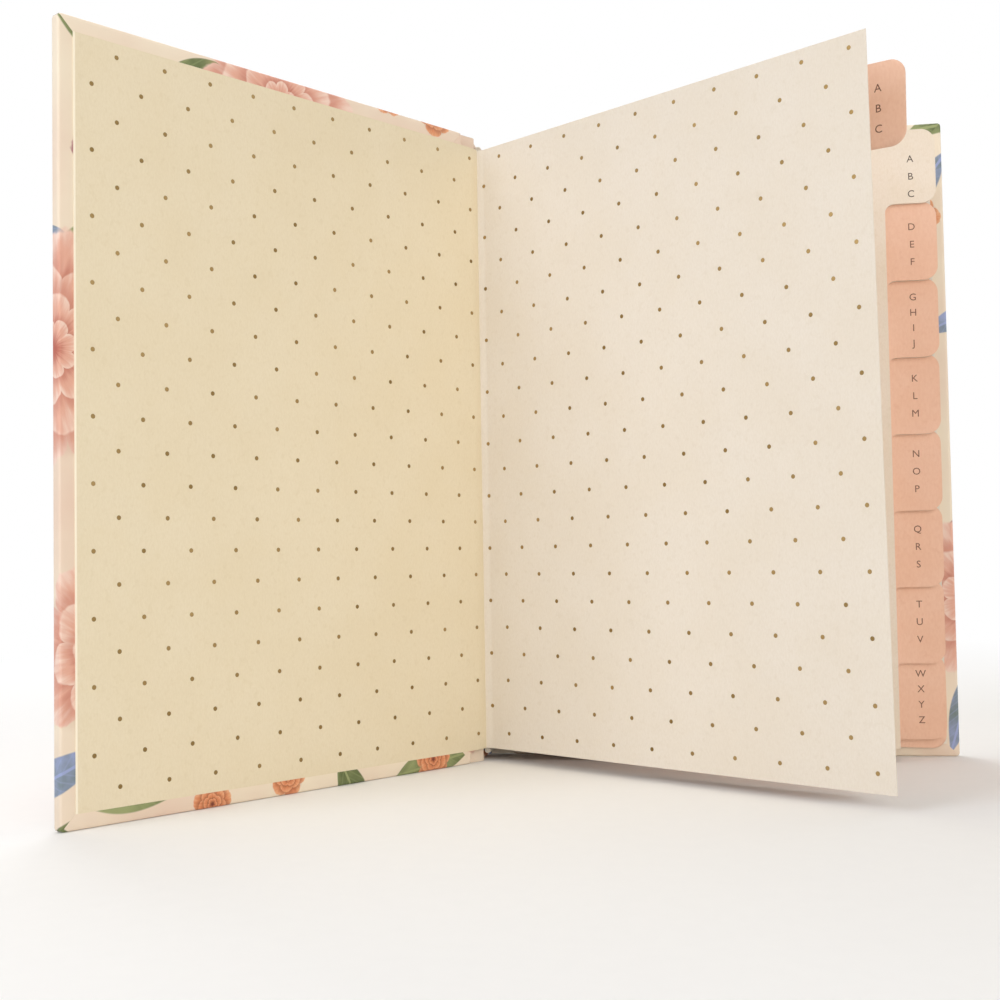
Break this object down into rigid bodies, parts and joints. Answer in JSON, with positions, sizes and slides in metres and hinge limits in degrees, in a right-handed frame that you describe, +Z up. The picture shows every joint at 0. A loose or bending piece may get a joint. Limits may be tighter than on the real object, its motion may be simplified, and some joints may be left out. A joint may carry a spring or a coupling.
{
  "type": "gift log book",
  "caption": "Hardcover index log book standing open, with hinged covers, dotted endpapers, folded sections and stepped divider tabs down the fore-edge.",
  "frame": {"origin": "middle of the back cover's lower edge, which the book stands on", "axes": "+X along the back cover from the spine to the fore-edge, +Y out of the back cover's outer face, +Z up from tail to head"},
  "size_m": [0.1912, 0.1169, 0.165],
  "materials": {
    "cover_print": "matt laminated floral print",
    "greyboard": "raw greyboard",
    "endpaper": "uncoated ivory paper with metallic foil dots",
    "writing_paper": "uncoated cream paper",
    "divider_card": "uncoated blush card",
    "gauze": "open cotton gauze",
    "band": "woven cotton"
  },
  "bodies": {
    "back_cover": {"back_board": "greyboard", "back_cover_wrap": "cover_print", "back_pastedown": "endpaper", "back_mull_flap": "gauze"},
    "wxyz_section": {"back_flyleaf": "endpaper", "end_leaf": "divider_card", "section_wxyz": "writing_paper", "divider_wxyz": "divider_card", "back_mull": "gauze"},
    "spine": {"spine_board": "greyboard", "spine_wrap": "cover_print", "head_band": "band", "tail_band": "band"},
    "tuv_section": {"section_tuv": "writing_paper", "divider_tuv": "divider_card"},
    "qrs_section": {"section_qrs": "writing_paper", "divider_qrs": "divider_card"},
    "nop_section": {"section_nop": "writing_paper", "divider_nop": "divider_card"},
    "klm_section": {"section_klm": "writing_paper", "divider_klm": "divider_card"},
    "ghij_section": {"section_ghij": "writing_paper", "divider_ghij": "divider_card"},
    "def_section": {"section_def": "writing_paper", "divider_def": "divider_card"},
    "abc_section": {"section_abc": "writing_paper", "front_mull": "gauze"},
    "first_divider": {"divider_abc": "divider_card"},
    "flyleaf": {"front_flyleaf": "endpaper"},
    "front_cover": {"front_board": "greyboard", "front_cover_wrap": "cover_print", "front_pastedown": "endpaper", "front_mull_flap": "gauze"}
  },
  "joints": [
    {"name": "back_cover_hinge", "type": "hinge", "parent": "back_cover", "child": "wxyz_section", "pos_m": [-0.0609, -0.00045, 0], "axis": [0, 0, -1], "range_deg": [0, 100]},
    {"name": "spine_swing", "type": "hinge", "parent": "wxyz_section", "child": "spine", "pos_m": [-0.0609, -0.00045, 0], "axis": [0, 0, -1], "range_deg": [0, 14]},
    {"name": "tuv_fan", "type": "hinge", "parent": "wxyz_section", "child": "tuv_section", "pos_m": [-0.06044, -0.00365, 0], "axis": [0, 0, -1], "range_deg": [0, 4]},
    {"name": "qrs_fan", "type": "hinge", "parent": "tuv_section", "child": "qrs_section", "pos_m": [-0.06044, -0.00494, 0], "axis": [0, 0, -1], "range_deg": [0, 4]},
    {"name": "nop_fan", "type": "hinge", "parent": "qrs_section", "child": "nop_section", "pos_m": [-0.06044, -0.00622, 0], "axis": [0, 0, -1], "range_deg": [0, 4]},
    {"name": "klm_fan", "type": "hinge", "parent": "nop_section", "child": "klm_section", "pos_m": [-0.06044, -0.00749, 0], "axis": [0, 0, -1], "range_deg": [0, 4]},
    {"name": "ghij_fan", "type": "hinge", "parent": "klm_section", "child": "ghij_section", "pos_m": [-0.06044, -0.00877, 0], "axis": [0, 0, -1], "range_deg": [0, 4]},
    {"name": "def_fan", "type": "hinge", "parent": "ghij_section", "child": "def_section", "pos_m": [-0.06044, -0.01005, 0], "axis": [0, 0, -1], "range_deg": [0, 4]},
    {"name": "abc_fan", "type": "hinge", "parent": "def_section", "child": "abc_section", "pos_m": [-0.06044, -0.01133, 0], "axis": [0, 0, -1], "range_deg": [0, 4]},
    {"name": "divider_turn", "type": "hinge", "parent": "abc_section", "child": "first_divider", "pos_m": [-0.06044, -0.01232, 0], "axis": [0, 0, -1], "range_deg": [-29.13, 13.16]},
    {"name": "flyleaf_turn", "type": "hinge", "parent": "abc_section", "child": "flyleaf", "pos_m": [-0.06044, -0.01232, 0], "axis": [0, 0, -1], "range_deg": [-35.97, 16.24]},
    {"name": "front_cover_hinge", "type": "hinge", "parent": "abc_section", "child": "front_cover", "pos_m": [-0.0609, -0.01425, 0], "axis": [0, 0, -1], "range_deg": [-124, 56]}
  ],
  "couplings": [
    {"joint": "spine_swing", "follows": "tuv_fan", "ratio": 3.5},
    {"joint": "qrs_fan", "follows": "tuv_fan", "ratio": 1},
    {"joint": "nop_fan", "follows": "tuv_fan", "ratio": 1},
    {"joint": "klm_fan", "follows": "tuv_fan", "ratio": 1},
    {"joint": "ghij_fan", "follows": "tuv_fan", "ratio": 1},
    {"joint": "def_fan", "follows": "tuv_fan", "ratio": 1},
    {"joint": "abc_fan", "follows": "tuv_fan", "ratio": 1},
    {"joint": "divider_turn", "follows": "front_cover_hinge", "ratio": 0.2349},
    {"joint": "flyleaf_turn", "follows": "front_cover_hinge", "ratio": 0.29}
  ]
}
